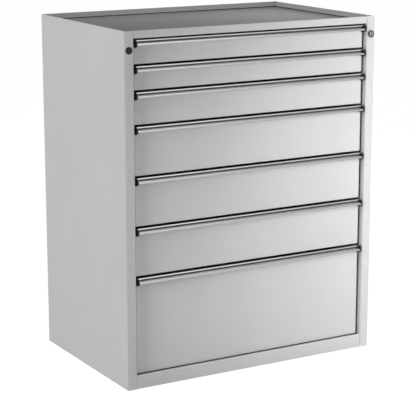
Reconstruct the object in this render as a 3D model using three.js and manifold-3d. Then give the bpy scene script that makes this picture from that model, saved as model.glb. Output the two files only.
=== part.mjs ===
// An industrial drawer cabinet: a welded sheet-steel housing with seven drawers on
// telescopic roller runners, handle strips of extruded aluminium, a recessed top with
// a mat, and a key lock that works a locking bar behind the right post.
// Millimetres, +Z up. The front faces -Y, the left side is at -X, and the origin is at
// the centre of the housing's footprint, on the floor.

import * as THREE from 'three';
import { mergeVertices } from 'three/addons/utils/BufferGeometryUtils.js';
import Module from 'manifold-3d';

const wasm = await Module();
wasm.setup();

// Clearances that every piece uses
const gap = 0.3;
const weld = 0.5;
const overrun = 5;
const quarterTurn = Math.PI / 2;

// Housing
const width = 870;
const depth = 565;
const sheet = 1.5;
const bendRadius = 2.5;
const bendSteps = 2;
const postWidth = 30;
const postReturn = 16;
const rearFlange = 20;
const footFlange = 25;
const hemHeight = 12;
const bottomRailHeight = 42;
const bottomRailFoot = 27;
const topRailHeight = 22;
const bottomClearance = 1;
const baseHeight = 30;
const baseStart = 30;

// Drawer stack: front heights in steps of one pitch, from the top down
const frontPitch = 25;
const drawerSteps = [3, 3, 4, 6, 6, 6, 12];

// Top mat
const matThickness = 3;
const matMargin = 3;

// Drawer fronts and boxes
const frontRecess = 14;
const frontSideGap = 7;
const frontDepth = 18;
const drawerSheet = 1.2;
const boxRearRoom = 32.7;
const boxDrop = 16;
const boxRise = 6;

// Handle strip, measured down from the top of the drawer's module and forward of the
// drawer front
const handleGap = 5.4;
const beadHeight = 4;
const beadForward = 8;
const beadRadius = 1.4;
const grooveHeight = 3;
const grooveForward = 2.5;
const stripWall = 1.7;
const stripFoot = 14;
const footWall = 1.2;
const lipRoot = 7.5;
const lipReach = 11.5;
const lipDrop = 7.4;
const lipWall = 1.8;
const lipSteps = 5;
const noseHeight = 1;
const legHeight = 4;

// End caps of the handle strip
const capThickness = 3;
const capProud = 0.5;
const capDrop = 8;
const capChamferHeight = 6;
const capChamferDepth = 10;

// Telescopic runners
const railSheet = 2;
const railFlange = 11;
const railInside = 34;
const railCentreRise = 27;
const railRearRoom = 35;
const rollerClearance = 0.3;
const rollerWidth = 8;
const rollerSideGap = 0.5;
const rollerSides = 12;
const sliderThickness = 2.5;
const sliderHeight = 26;
const outerRollerShares = [0.57, 0.96];
const innerRollerShares = [0.04, 0.43];
const railSetback = 7.7;
const uprightSetback = 6;
const uprightWidth = 30;

// Lock, locking bar and blind plug
const lockDrop = 55;
const lockHoleDiameter = 20;
const lockFlangeDiameter = 22;
const lockFlangeProud = 5;
const barrelLength = 24;
const coreDiameter = 13;
const coreProud = 4;
const crankThickness = 2;
const crankMargin = 0.5;
const keySlotWidth = 1.4;
const keySlotHeight = 8;
const keySlotDepth = 6;
const pinOffset = 8;
const pinDiameter = 4;
const pinPlay = 0.5;
const pinReach = 2;
const roundSides = 24;
const barSetback = 1.7;
const barThickness = 3;
const barWidth = 11;
const barPlay = 0.5;
const barEnd = 5;
const barPostGap = 5.5;
const guideThickness = 3;
const guideWall = 2.5;
const guideRise = 25;
const guideLockGap = 5;
const guideDrawers = [4, 6];
const hookHeight = 6;
const hookFrontGap = 1.2;
const hookClearance = 2.5;
const lugThickness = 3;
const lugHeight = 8;
const lugInset = 1;
const lugPostGap = 2.5;
const plugProud = 1.5;
const plugLength = 6;

// Places that follow from the sizes above
const stackHeight = frontPitch * drawerSteps.reduce((sum, steps) => sum + steps, 0);
const stackBase = bottomRailHeight + bottomClearance;
const trayBase = stackBase + stackHeight;
const height = trayBase + topRailHeight;
const sideFace = width / 2;
const front = -depth / 2;
const back = depth / 2;
const openingHalf = sideFace - postWidth;
const frontFace = front + frontRecess;
const frontHalf = openingHalf - frontSideGap;
const boxStart = frontFace + frontDepth + gap;
const boxLength = back - boxRearRoom - boxStart;
const railStandoff = railSheet - weld;
const runnerWidth = 2 * (railStandoff + rollerSideGap + rollerWidth) + sliderThickness;
const boxHalf = openingHalf - runnerWidth;
const railStart = boxStart + railSetback;
const railLength = back - railRearRoom - railStart;
const uprightStart = railStart + uprightSetback;
const railHalfHeight = railInside / 2 + railSheet;
const grooveTop = -(handleGap + beadHeight);
const lipTop = grooveTop - grooveHeight;
const noseLevel = lipTop - lipDrop;
const stripBase = lipTop - footWall;
const frontTop = stripBase - gap;
const lockCentreX = sideFace - postWidth / 2;
const lockCentreZ = height - lockDrop;
const crankRadius = pinOffset + pinDiameter / 2 + crankMargin;
const crankStart = front + barrelLength + gap;
const barStart = crankStart + crankThickness + barSetback;
const barInner = openingHalf + sheet + barPostGap;
const pinShift = pinOffset * Math.SQRT1_2;

// Solids

// Turns a closed three.js geometry into a solid that can be joined and cut.
function toSolid(geometry) {
  const bare = geometry.clone();
  bare.deleteAttribute('normal');
  bare.deleteAttribute('uv');
  const merged = mergeVertices(bare);
  const vertProperties = Float32Array.from(merged.attributes.position.array);
  const triVerts = Uint32Array.from(merged.index.array);
  return new wasm.Manifold(new wasm.Mesh({ numProp: 3, vertProperties, triVerts }));
}

function toGeometry(solid) {
  const { vertProperties, triVerts } = solid.getMesh();
  const geometry = new THREE.BufferGeometry();
  geometry.setAttribute('position', new THREE.BufferAttribute(vertProperties, 3));
  geometry.setIndex(new THREE.BufferAttribute(triVerts, 1));
  geometry.computeVertexNormals();
  return geometry;
}

function block([x0, x1], [y0, y1], [z0, z1]) {
  const geometry = new THREE.BoxGeometry(x1 - x0, y1 - y0, z1 - z0);
  geometry.translate((x0 + x1) / 2, (y0 + y1) / 2, (z0 + z1) / 2);
  return toSolid(geometry);
}

// Extrudes an outline of [a, b] points from start to end along the axis that across,
// up and along name. The three directions are right-handed.
function extrude(points, [start, end], across, up, along) {
  const shape = new THREE.Shape(points.map(([a, b]) => new THREE.Vector2(a, b)));
  const geometry = new THREE.ExtrudeGeometry(shape, { depth: end - start, bevelEnabled: false });
  geometry.translate(0, 0, start);
  geometry.applyMatrix4(new THREE.Matrix4().makeBasis(across, up, along));
  return toSolid(geometry);
}

const xAxis = new THREE.Vector3(1, 0, 0);
const yAxis = new THREE.Vector3(0, 1, 0);
const zAxis = new THREE.Vector3(0, 0, 1);
const minusY = new THREE.Vector3(0, -1, 0);

// An outline of [y, z] points, extruded along X.
function alongX(points, span) {
  return extrude(points, span, yAxis, zAxis, xAxis);
}

// An outline of [x, z] points, extruded along Y.
function alongY(points, [y0, y1]) {
  return extrude(points, [-y1, -y0], xAxis, zAxis, minusY);
}

// An outline of [x, y] points, extruded along Z.
function alongZ(points, span) {
  return extrude(points, span, xAxis, yAxis, zAxis);
}

// A round bar along Y or X, with its centre at the two other coordinates.
function discAlongY(radius, x, [y0, y1], z) {
  const geometry = new THREE.CylinderGeometry(radius, radius, y1 - y0, roundSides);
  geometry.translate(x, (y0 + y1) / 2, z);
  return toSolid(geometry);
}

function discAlongX(radius, [x0, x1], y, z) {
  const geometry = new THREE.CylinderGeometry(radius, radius, x1 - x0, rollerSides);
  geometry.rotateZ(-quarterTurn);
  geometry.translate((x0 + x1) / 2, y, z);
  return toSolid(geometry);
}

function join(solids) {
  return solids.reduce((whole, solid) => whole.add(solid));
}

function arc([cx, cy], radius, from, to, steps) {
  const points = [];
  for (let step = 0; step <= steps; step += 1) {
    const angle = from + (to - from) * step / steps;
    points.push([cx + radius * Math.cos(angle), cy + radius * Math.sin(angle)]);
  }
  return points;
}

// The outline of a folded sheet. The path runs along its outer face, the sheet lies to
// the left of it, and every corner bends to the left.
function foldedSheet(path, thickness, radius) {
  const outer = [path[0]];
  const inner = [];
  const directions = path.slice(1).map(([x, y], index) => {
    const [px, py] = path[index];
    const length = Math.hypot(x - px, y - py);
    return [(x - px) / length, (y - py) / length];
  });
  const leftOf = ([x, y], [dx, dy]) => [x - dy * thickness, y + dx * thickness];
  inner.push(leftOf(path[0], directions[0]));
  for (let index = 1; index < path.length - 1; index += 1) {
    const [x, y] = path[index];
    const [dx, dy] = directions[index - 1];
    const centre = [x - dx * radius - dy * radius, y - dy * radius + dx * radius];
    const from = Math.atan2(-dx, dy);
    outer.push(...arc(centre, radius, from, from + quarterTurn, bendSteps));
    inner.push(...arc(centre, radius - thickness, from, from + quarterTurn, bendSteps));
  }
  const last = path[path.length - 1];
  outer.push(last);
  inner.push(leftOf(last, directions[directions.length - 1]));
  return [...outer, ...inner.reverse()];
}

// Materials, in the photographed colours
const paint = new THREE.MeshStandardMaterial({ color: 0xcfd1cf, roughness: 0.42, metalness: 0.0 });
const frontPaint = new THREE.MeshStandardMaterial({ color: 0xd2d4d2, roughness: 0.38, metalness: 0.0 });
const matRubber = new THREE.MeshStandardMaterial({ color: 0x858585, roughness: 0.85, metalness: 0.0 });
const anodised = new THREE.MeshStandardMaterial({ color: 0xb9babd, roughness: 0.3, metalness: 0.9 });
const blackPlastic = new THREE.MeshStandardMaterial({ color: 0x26282a, roughness: 0.5, metalness: 0.0 });
const zincSteel = new THREE.MeshStandardMaterial({ color: 0xa9adb0, roughness: 0.35, metalness: 0.9 });
const chrome = new THREE.MeshStandardMaterial({ color: 0xc4c6c8, roughness: 0.15, metalness: 1.0 });

function piece(name, solid, material) {
  const mesh = new THREE.Mesh(toGeometry(solid), material);
  mesh.name = name;
  return mesh;
}

// Heights of the drawer modules, as [bottom, top] pairs from the top drawer down
const modules = [];
let moduleTop = trayBase;
for (const steps of drawerSteps) {
  modules.push([moduleTop - steps * frontPitch, moduleTop]);
  moduleTop -= steps * frontPitch;
}

// Heights, below the top of a module, of the lug on a drawer box and of the hook that
// stands over it while the lock is open
const lugTop = -(boxDrop + lugInset);
const lugBottom = lugTop - lugHeight;
const hookBottom = lugTop + hookClearance;
const hookTop = hookBottom + hookHeight;

// Housing pieces

// A fixed rail of the runners: a channel that opens towards the drawer.
function fixedRail(centreZ) {
  const tip = openingHalf - railFlange;
  const web = openingHalf + weld;
  const path = [
    [tip, centreZ - railHalfHeight],
    [web, centreZ - railHalfHeight],
    [web, centreZ + railHalfHeight],
    [tip, centreZ + railHalfHeight],
  ];
  return alongY(foldedSheet(path, railSheet, bendRadius), [railStart, railStart + railLength]);
}

// An upright channel that carries the fixed rails, welded to the floor pan.
function upright(start) {
  const wall = sideFace - sheet - gap;
  const path = [
    [wall, start + uprightWidth],
    [openingHalf, start + uprightWidth],
    [openingHalf, start],
    [wall, start],
  ];
  return alongZ(foldedSheet(path, sheet, bendRadius), [baseHeight - weld, trayBase - gap]);
}

// A guide that holds the locking bar to the side wall.
function barGuide(centreZ) {
  const thickness = [centreZ - guideThickness / 2, centreZ + guideThickness / 2];
  const inner = barInner - barPlay;
  const near = barStart - barPlay;
  const far = barStart + barThickness + barPlay;
  const plate = block(
    [inner - guideWall, sideFace - sheet + weld],
    [near - guideWall, far + guideWall],
    thickness,
  );
  const passage = block(
    [inner, barInner + barWidth + barPlay],
    [near, far],
    [thickness[0] - overrun, thickness[1] + overrun],
  );
  return plate.subtract(passage);
}

// The right side panel. One sheet makes the rear flange, the wall, the front post and
// its return. It ends under the top tray.
function sidePanel(extras) {
  const outline = foldedSheet([
    [openingHalf, front + postReturn],
    [openingHalf, front],
    [sideFace, front],
    [sideFace, back],
    [sideFace - rearFlange, back],
  ], sheet, bendRadius);
  const parts = [
    alongZ(outline, [0, trayBase - gap]),
    block([sideFace - footFlange, sideFace - sheet / 2],
      [front + sheet / 2, back - sheet / 2], [0, sheet]),
    ...extras,
  ];
  const lockHole = discAlongY(lockHoleDiameter / 2, lockCentreX,
    [front - overrun, front + sheet + overrun], lockCentreZ);
  return join(parts).subtract(lockHole);
}

function bottomRail() {
  const half = openingHalf - gap;
  const path = [
    [front, bottomRailHeight],
    [front, 0],
    [front + bottomRailFoot, 0],
  ];
  const face = alongX(foldedSheet(path, sheet, bendRadius), [-half, half]);
  const hem = block([-half, half], [front + sheet - weld, front + 2 * sheet],
    [bottomRailHeight - hemHeight, bottomRailHeight]);
  return face.add(hem);
}

// The inner frame: a floor pan turned upside down, which stands on the foot flanges, and
// on each side two uprights that carry the fixed rails.
function runnerFrame() {
  const half = sideFace - sheet - gap;
  const span = [front + baseStart, back - 2 * (sheet + gap)];
  const foot = sheet + gap;
  const pan = block([-half, half], span, [foot, baseHeight]);
  const hollow = block([-half + sheet, half - sheet], [span[0] + sheet, span[1] - sheet],
    [foot - overrun, baseHeight - sheet]);
  const side = join([
    upright(uprightStart),
    upright(railStart + railLength - uprightSetback - uprightWidth),
    ...modules.map(([bottom]) => fixedRail(bottom + railCentreRise)),
  ]);
  return join([pan.subtract(hollow), side, side.mirror([1, 0, 0])]);
}

function backPanel() {
  const half = sideFace - bendRadius - gap;
  return block([-half, half], [back - 2 * sheet - gap, back - sheet - gap],
    [sheet + gap, trayBase - gap]);
}

// A rectangle about the origin with rounded corners, as [x, y] points.
function roundedRectangle(halfWidth, halfDepth, radius) {
  const corners = [[1, 1], [-1, 1], [-1, -1], [1, -1]];
  return corners.flatMap(([x, y], index) => arc(
    [x * (halfWidth - radius), y * (halfDepth - radius)],
    radius,
    index * quarterTurn,
    (index + 1) * quarterTurn,
    bendSteps,
  ));
}

// The recessed top: a pan that closes the housing, with its rims in line with the side
// walls, the back and the posts. Its front rim is the rail over the top drawer.
function topTray() {
  const outline = roundedRectangle(sideFace, depth / 2, bendRadius);
  const recess = roundedRectangle(sideFace - sheet, depth / 2 - sheet, bendRadius - sheet);
  const pan = alongZ(outline, [trayBase, height])
    .subtract(alongZ(recess, [trayBase + sheet, height + overrun]));
  const half = sideFace - bendRadius;
  const hem = block([-half, half], [front + sheet - weld, front + 2 * sheet],
    [height - hemHeight, height]);
  return pan.add(hem);
}

function topMat() {
  const half = sideFace - sheet - matMargin;
  const base = trayBase + sheet;
  return block([-half, half],
    [front + 2 * sheet + matMargin, back - sheet - matMargin],
    [base, base + matThickness]);
}

// Lock pieces

function lockBarrel() {
  const flange = discAlongY(lockFlangeDiameter / 2, lockCentreX,
    [front - lockFlangeProud, front], lockCentreZ);
  const body = discAlongY(lockHoleDiameter / 2 - gap, lockCentreX,
    [front - weld, front + barrelLength], lockCentreZ);
  const bore = discAlongY(coreDiameter / 2 + gap, lockCentreX,
    [front - lockFlangeProud - overrun, front + barrelLength + overrun], lockCentreZ);
  return flange.add(body).subtract(bore);
}

// The core turns in the barrel. Its crank carries the pin that lifts the locking bar.
function lockCore() {
  const face = front - coreProud;
  const plug = discAlongY(coreDiameter / 2, lockCentreX, [face, crankStart + weld], lockCentreZ);
  const crank = discAlongY(crankRadius, lockCentreX,
    [crankStart, crankStart + crankThickness], lockCentreZ);
  const pin = discAlongY(pinDiameter / 2, lockCentreX - pinShift,
    [crankStart + weld, barStart + barThickness + pinReach], lockCentreZ + pinShift);
  const keySlot = block(
    [lockCentreX - keySlotWidth / 2, lockCentreX + keySlotWidth / 2],
    [face - overrun, face + keySlotDepth],
    [lockCentreZ - keySlotHeight / 2, lockCentreZ + keySlotHeight / 2],
  );
  return join([plug, crank, pin]).subtract(keySlot);
}

// The locking bar slides up and down behind the right post. It is a flat strip with a
// hook for each drawer, which stands over the drawer's lug and drops in front of it when
// the bar comes down. The pin of the lock works in a notch of its edge.
function lockBar() {
  const lowest = modules[modules.length - 1][1] + hookBottom - barEnd;
  const highest = modules[0][1] + hookTop;
  const faces = [barStart, barStart + barThickness];
  const bar = block([barInner, barInner + barWidth], faces, [lowest, highest]);
  const hooks = modules.map(([, top]) => block(
    [frontHalf + hookFrontGap, barInner + weld],
    faces,
    [top + hookBottom, top + hookTop],
  ));
  const playRadius = pinDiameter / 2 + pinPlay;
  const notch = block(
    [barInner - overrun, lockCentreX - pinShift + playRadius],
    [faces[0] - overrun, faces[1] + overrun],
    [lockCentreZ + pinShift - playRadius, lockCentreZ + pinShift + playRadius],
  );
  return join([bar, ...hooks]).subtract(notch);
}

function blindPlug() {
  const head = discAlongY(lockFlangeDiameter / 2, -lockCentreX,
    [front - plugProud, front], lockCentreZ);
  const stem = discAlongY(lockHoleDiameter / 2 - gap, -lockCentreX,
    [front - weld, front + plugLength], lockCentreZ);
  return head.add(stem);
}

// Drawer pieces. A drawer's group stands at the face of its front, at the top of its
// module, so these are measured from there.

// A pan of sheet with its returns towards the back.
function drawerFront(moduleHeight) {
  const outer = block([-frontHalf, frontHalf], [0, frontDepth], [-moduleHeight, frontTop]);
  const hollow = block([-frontHalf + drawerSheet, frontHalf - drawerSheet],
    [drawerSheet, frontDepth + overrun],
    [-moduleHeight + drawerSheet, frontTop - drawerSheet]);
  return outer.subtract(hollow);
}

// The moving rail on the drawer's right side: a channel that opens outwards.
function drawerRail(centreZ) {
  const tip = boxHalf + railFlange;
  const web = boxHalf - weld;
  const path = [
    [tip, centreZ + railHalfHeight],
    [web, centreZ + railHalfHeight],
    [web, centreZ - railHalfHeight],
    [tip, centreZ - railHalfHeight],
  ];
  const start = railStart - frontFace;
  return alongY(foldedSheet(path, railSheet, bendRadius), [start, start + railLength]);
}

function drawerBox(moduleHeight) {
  const start = boxStart - frontFace;
  const end = start + boxLength;
  const floor = -moduleHeight + boxRise;
  const outer = block([-boxHalf, boxHalf], [start, end], [floor, -boxDrop]);
  const hollow = block([-boxHalf + drawerSheet, boxHalf - drawerSheet],
    [start + drawerSheet, end - drawerSheet], [floor + drawerSheet, overrun - boxDrop]);
  const rail = drawerRail(-moduleHeight + railCentreRise);
  const lug = block([boxHalf - weld, openingHalf - lugPostGap],
    [start, start + lugThickness], [lugBottom, lugTop]);
  return join([outer, rail, rail.mirror([1, 0, 0]), lug]).subtract(hollow);
}

// The section of the handle strip, which stands in front of the drawer front: a bead over
// a deep groove, then a lip that curves forward and down over the finger space, and a
// foot that lies on the front's top edge. Points are [forward, up].
function handleSection() {
  const beadTop = -handleGap;
  const beadCentre = beadForward - beadRadius;
  const bead = [
    ...arc([beadCentre, beadTop - beadRadius], beadRadius, quarterTurn, 0, bendSteps),
    ...arc([beadCentre, grooveTop + beadRadius], beadRadius, 0, -quarterTurn, bendSteps),
  ];
  const curve = (reach, drop, step) => {
    const angle = quarterTurn * step / lipSteps;
    return [lipRoot + reach * Math.sin(angle), noseLevel + drop * Math.cos(angle)];
  };
  const steps = Array.from({ length: lipSteps + 1 }, (_, step) => step);
  const outside = steps.map((step) => curve(lipReach, lipDrop, step));
  const inside = steps.map((step) => curve(lipReach - lipWall, lipDrop - lipWall, step));
  const nose = lipRoot + lipReach;
  const underside = lipTop - lipWall;
  return [
    [grooveForward - stripWall, beadTop],
    ...bead,
    [grooveForward, grooveTop],
    [grooveForward, lipTop],
    ...outside,
    [nose, noseLevel - noseHeight],
    [nose - lipWall, noseLevel - noseHeight],
    ...inside.reverse(),
    [grooveForward, underside],
    [grooveForward, underside - legHeight],
    [gap, underside - legHeight],
    [gap, stripBase],
    [-stripFoot, stripBase],
    [-stripFoot, lipTop],
    [grooveForward - stripWall, lipTop],
  ];
}

// The sections point forward, which is -Y.
function backwards(points) {
  return points.map(([forward, up]) => [-forward, up]);
}

function handleStrip() {
  const half = frontHalf - capThickness - gap;
  return alongX(backwards(handleSection()), [-half, half]);
}

// The right end cap: a plate that closes the strip's outline and reaches below the lip.
function handleCap() {
  const nose = lipRoot + lipReach + capProud;
  const base = noseLevel - capDrop;
  const shoulder = Array.from({ length: lipSteps + 1 }, (_, step) => {
    const angle = quarterTurn * step / lipSteps;
    const rise = -handleGap - noseLevel;
    return [beadForward + (nose - beadForward) * Math.sin(angle), noseLevel + rise * Math.cos(angle)];
  });
  const section = [
    [gap, -handleGap],
    ...shoulder,
    [nose, base + capChamferHeight],
    [nose - capChamferDepth, base],
    [gap, base],
  ];
  return alongX(backwards(section), [frontHalf - capThickness, frontHalf]);
}

// The middle member of the right runner. Its outer rollers run in the fixed rail and
// its inner rollers carry the drawer's rail.
function middleRail() {
  const radius = railInside / 2 - rollerClearance;
  const plateOuter = openingHalf - railStandoff - rollerSideGap - rollerWidth;
  const plateInner = plateOuter - sliderThickness;
  const plate = block([plateInner, plateOuter], [0, railLength],
    [-sliderHeight / 2, sliderHeight / 2]);
  const roller = (share, span) => discAlongX(radius, span, share * railLength, 0);
  const outer = outerRollerShares.map((share) => (
    roller(share, [plateOuter - weld, plateOuter + rollerWidth])));
  const inner = innerRollerShares.map((share) => (
    roller(share, [plateInner - rollerWidth, plateInner + weld])));
  return join([plate, ...outer, ...inner]);
}

// Assembly

const cabinet = new THREE.Group();
cabinet.name = 'drawer_cabinet';

const guideLevels = [
  lockCentreZ - crankRadius - guideLockGap,
  ...guideDrawers.map((number) => modules[number - 1][0] + guideRise),
];
cabinet.add(
  piece('side_panel_left', sidePanel([]).mirror([1, 0, 0]), paint),
  piece('side_panel_right', sidePanel(guideLevels.map(barGuide)), paint),
  piece('back_panel', backPanel(), paint),
  piece('runner_frame', runnerFrame(), paint),
  piece('bottom_rail', bottomRail(), paint),
  piece('top_tray', topTray(), paint),
  piece('top_mat', topMat(), matRubber),
  piece('lock_barrel', lockBarrel(), chrome),
  piece('lock_core', lockCore(), chrome),
  piece('lock_bar', lockBar(), zincSteel),
  piece('blind_plug', blindPlug(), blackPlastic),
);

const handleSolid = handleStrip();
const capSolid = handleCap();
const railSolid = middleRail();

modules.forEach(([bottom, top], index) => {
  const number = index + 1;
  const drawer = new THREE.Group();
  drawer.position.set(0, frontFace, top);
  drawer.add(
    piece(`drawer_${number}_box`, drawerBox(top - bottom), paint),
    piece(`drawer_${number}_front`, drawerFront(top - bottom), frontPaint),
    piece(`drawer_${number}_handle`, handleSolid, anodised),
    piece(`drawer_${number}_cap_left`, capSolid.mirror([1, 0, 0]), blackPlastic),
    piece(`drawer_${number}_cap_right`, capSolid, blackPlastic),
  );
  const slider = new THREE.Group();
  slider.position.set(0, railStart, bottom + railCentreRise);
  slider.add(
    piece(`drawer_${number}_rail_left`, railSolid.mirror([1, 0, 0]), zincSteel),
    piece(`drawer_${number}_rail_right`, railSolid, zincSteel),
  );
  cabinet.add(drawer, slider);
});

export default cabinet;
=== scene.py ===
import math

import bmesh
import bpy
from mathutils import Matrix, Vector


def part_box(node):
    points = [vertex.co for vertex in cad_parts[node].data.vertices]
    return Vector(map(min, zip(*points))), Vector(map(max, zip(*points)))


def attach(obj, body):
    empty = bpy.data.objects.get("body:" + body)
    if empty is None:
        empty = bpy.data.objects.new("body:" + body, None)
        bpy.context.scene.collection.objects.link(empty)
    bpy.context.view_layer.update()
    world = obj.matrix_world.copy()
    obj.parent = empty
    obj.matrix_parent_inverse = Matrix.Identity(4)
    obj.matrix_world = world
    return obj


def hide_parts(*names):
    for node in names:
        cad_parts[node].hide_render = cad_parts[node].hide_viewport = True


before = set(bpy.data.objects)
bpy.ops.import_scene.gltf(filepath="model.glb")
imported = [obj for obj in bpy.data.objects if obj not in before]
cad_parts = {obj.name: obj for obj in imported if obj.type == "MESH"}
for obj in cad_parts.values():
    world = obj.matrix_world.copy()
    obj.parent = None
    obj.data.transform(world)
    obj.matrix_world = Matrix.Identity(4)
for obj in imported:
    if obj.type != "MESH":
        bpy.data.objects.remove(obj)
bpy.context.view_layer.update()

# The looks of an industrial drawer cabinet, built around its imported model. The cabinet's sizes
# are in millimetres, and every mesh is scaled to metres when it is finished. The front faces
# -Y, the left side is at -X and the floor is z = 0.

MM = 0.001
QUARTER_TURN = math.pi / 2
ORIGIN = Vector((0, 0, 0))
ACROSS = Vector((1, 0, 0))
BACKWARDS = Vector((0, 1, 0))
UP = Vector((0, 0, 1))
SIDES = {"left": -1, "right": 1}
DRAWERS = range(1, 8)

# Sizes that the solids have too
SHEET = 1.5
BEND = 2.5
REAR_FLANGE = 20
FOOT_FLANGE = 25
HEM = 12
BOTTOM_RAIL_FOOT = 27
DRAWER_SHEET = 1.2
RAIL_SHEET = 2
RAIL_HALF_HEIGHT = 19
RAIL_FLANGE = 11
HANDLE_DROP = 5.4

# The photograph shows deeper edges than the solids have: there the return of the posts is
# shallower, and the bottom rail ends in a hem.
POST_RETURN = 20.5
RAIL_LIP = 9

# Gaps: between neighbouring sheets, along a visible seam, and between faces that would
# otherwise lie in one plane
CLEARANCE = 0.3
SEAM = 0.2
HAIR = 0.1

# A place this near to a plane counts as on it, and points this near to each other as one
NEAR = 0.1
SAME_POINT = 0.0005

# How far the edges of the finished pieces are softened, from which angle on an edge counts,
# and the steps of a fold that shows
EDGE = 0.3
SHELL_EDGE = 0.35
BROAD_EDGE = 0.5
FINE_EDGE = 0.25
THIN_EDGE = 0.2
EDGE_ANGLE = math.radians(35)
SMOOTH = 4

# Two directions point the same way when their product is above this share
ALIGNED = 0.9


def box_mm(node):
    """Lowest and highest corner of a CAD node, in millimetres."""
    low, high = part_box(node)
    return low / MM, high / MM


def rail_centre(drawer):
    """The height of the middle of a drawer's rails."""
    low, high = box_mm(f"drawer_{drawer}_rail_right")
    return (low.z + high.z) / 2


_, side_high = box_mm("side_panel_right")
tray_low, tray_high = box_mm("top_tray")
rail_low, rail_high = box_mm("drawer_1_rail_right")
bottom_low, bottom_high = box_mm("bottom_rail")

FRONT = bottom_low.y
BACK = side_high.y
SIDE = side_high.x
TOP = tray_high.z
TRAY_BASE = tray_low.z
TRAY_FLOOR = TRAY_BASE + SHEET
OPENING = bottom_high.x + CLEARANCE
RAIL_START = rail_low.y
RAIL_END = rail_high.y
HEM_FACE = FRONT + 2 * SHEET
HEM_SHEET = SHEET - HAIR
RIM = SIDE - 2 * SHEET - CLEARANCE
RIM_NEAR = HEM_FACE + CLEARANCE
RIM_REAR = BACK - SHEET

# Finishes: each is a shader of noise, ramps and bumps on Object coordinates

# Noise lies mostly between these two values
NOISE_LOW = 0.3
NOISE_HIGH = 0.7


class Finish:
    """A material under construction, with short calls for the nodes it uses."""

    def __init__(self, name, roughness, metallic=0.0):
        self.material = bpy.data.materials.new(name)
        self.material.use_nodes = True
        self.nodes = self.material.node_tree.nodes
        self.links = self.material.node_tree.links
        self.shader = self.nodes["Principled BSDF"]
        self.shader.inputs["Roughness"].default_value = roughness
        self.shader.inputs["Metallic"].default_value = metallic
        self.place = self.nodes.new("ShaderNodeTexCoord").outputs["Object"]

    def stretched(self, scale):
        """Object coordinates with a scale for each axis."""
        mapping = self.nodes.new("ShaderNodeMapping")
        mapping.inputs["Scale"].default_value = scale
        self.links.new(self.place, mapping.inputs["Vector"])
        return mapping.outputs["Vector"]

    def noise(self, scale, detail=2.0, place=None):
        node = self.nodes.new("ShaderNodeTexNoise")
        node.inputs["Scale"].default_value = scale
        node.inputs["Detail"].default_value = detail
        self.links.new(place or self.place, node.inputs["Vector"])
        return node.outputs["Fac"]

    def cells(self, scale):
        node = self.nodes.new("ShaderNodeTexVoronoi")
        node.inputs["Scale"].default_value = scale
        self.links.new(self.place, node.inputs["Vector"])
        return node.outputs["Distance"]

    def spread(self, source, low, high):
        """Draws the span of the noise out to low and high."""
        node = self.nodes.new("ShaderNodeMapRange")
        node.inputs["From Min"].default_value = NOISE_LOW
        node.inputs["From Max"].default_value = NOISE_HIGH
        node.inputs["To Min"].default_value = low
        node.inputs["To Max"].default_value = high
        self.links.new(source, node.inputs["Value"])
        return node.outputs["Result"]

    def colour(self, source, dark, light):
        """Runs the base colour from dark to light over the span of the noise."""
        ramp = self.nodes.new("ShaderNodeValToRGB")
        ramp.color_ramp.elements[0].position = NOISE_LOW
        ramp.color_ramp.elements[1].position = NOISE_HIGH
        ramp.color_ramp.elements[0].color = (*dark, 1)
        ramp.color_ramp.elements[1].color = (*light, 1)
        self.links.new(source, ramp.inputs["Fac"])
        self.links.new(ramp.outputs["Color"], self.shader.inputs["Base Color"])

    def gloss(self, source, low, high):
        self.links.new(self.spread(source, low, high), self.shader.inputs["Roughness"])

    def relief(self, *layers):
        """Bumps over each other: each layer is a source, its strength and its depth in metres."""
        normal = None
        for source, strength, depth in layers:
            bump = self.nodes.new("ShaderNodeBump")
            bump.inputs["Strength"].default_value = strength
            bump.inputs["Distance"].default_value = depth
            self.links.new(source, bump.inputs["Height"])
            if normal:
                self.links.new(normal, bump.inputs["Normal"])
            normal = bump.outputs["Normal"]
        self.links.new(normal, self.shader.inputs["Normal"])


def powder_coat(name, dark, light):
    """Satin powder coat: a faint cloudiness, orange peel and a fine dust in the film."""
    finish = Finish(name, roughness=0.4)
    finish.colour(finish.noise(5, detail=3), dark, light)
    finish.gloss(finish.noise(40, detail=3), 0.34, 0.44)
    finish.relief(
        (finish.noise(450, detail=1), 0.06, 0.0003),
        (finish.noise(2200, detail=1), 0.04, 0.0001),
    )
    return finish.material


def rubber_mat():
    """Matt rubber with a fine grain."""
    finish = Finish("mat_rubber", roughness=0.8)
    finish.colour(finish.noise(900), (0.176, 0.176, 0.176), (0.212, 0.212, 0.213))
    finish.gloss(finish.noise(300), 0.7, 0.9)
    finish.relief(
        (finish.cells(700), 0.25, 0.0004),
        (finish.noise(2500, detail=1), 0.2, 0.0002),
    )
    finish.shader.inputs["Specular IOR Level"].default_value = 0.3
    return finish.material


def brushed_aluminium(name, dark, light, metallic=1.0):
    """Anodised aluminium, drawn along X."""
    finish = Finish(name, roughness=0.3, metallic=metallic)
    lines = finish.noise(1, detail=3, place=finish.stretched((6, 2400, 2400)))
    finish.colour(lines, dark, light)
    finish.gloss(lines, 0.22, 0.36)
    finish.relief((lines, 0.12, 0.0001))
    return finish.material


def moulded_plastic():
    """Black plastic with a spark-eroded grain."""
    finish = Finish("black_plastic", roughness=0.42)
    finish.colour(finish.noise(60), (0.011, 0.0115, 0.012), (0.016, 0.0165, 0.017))
    finish.gloss(finish.noise(500), 0.34, 0.5)
    finish.relief((finish.noise(1600), 0.25, 0.0002))
    finish.shader.inputs["Specular IOR Level"].default_value = 0.3
    return finish.material


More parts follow.
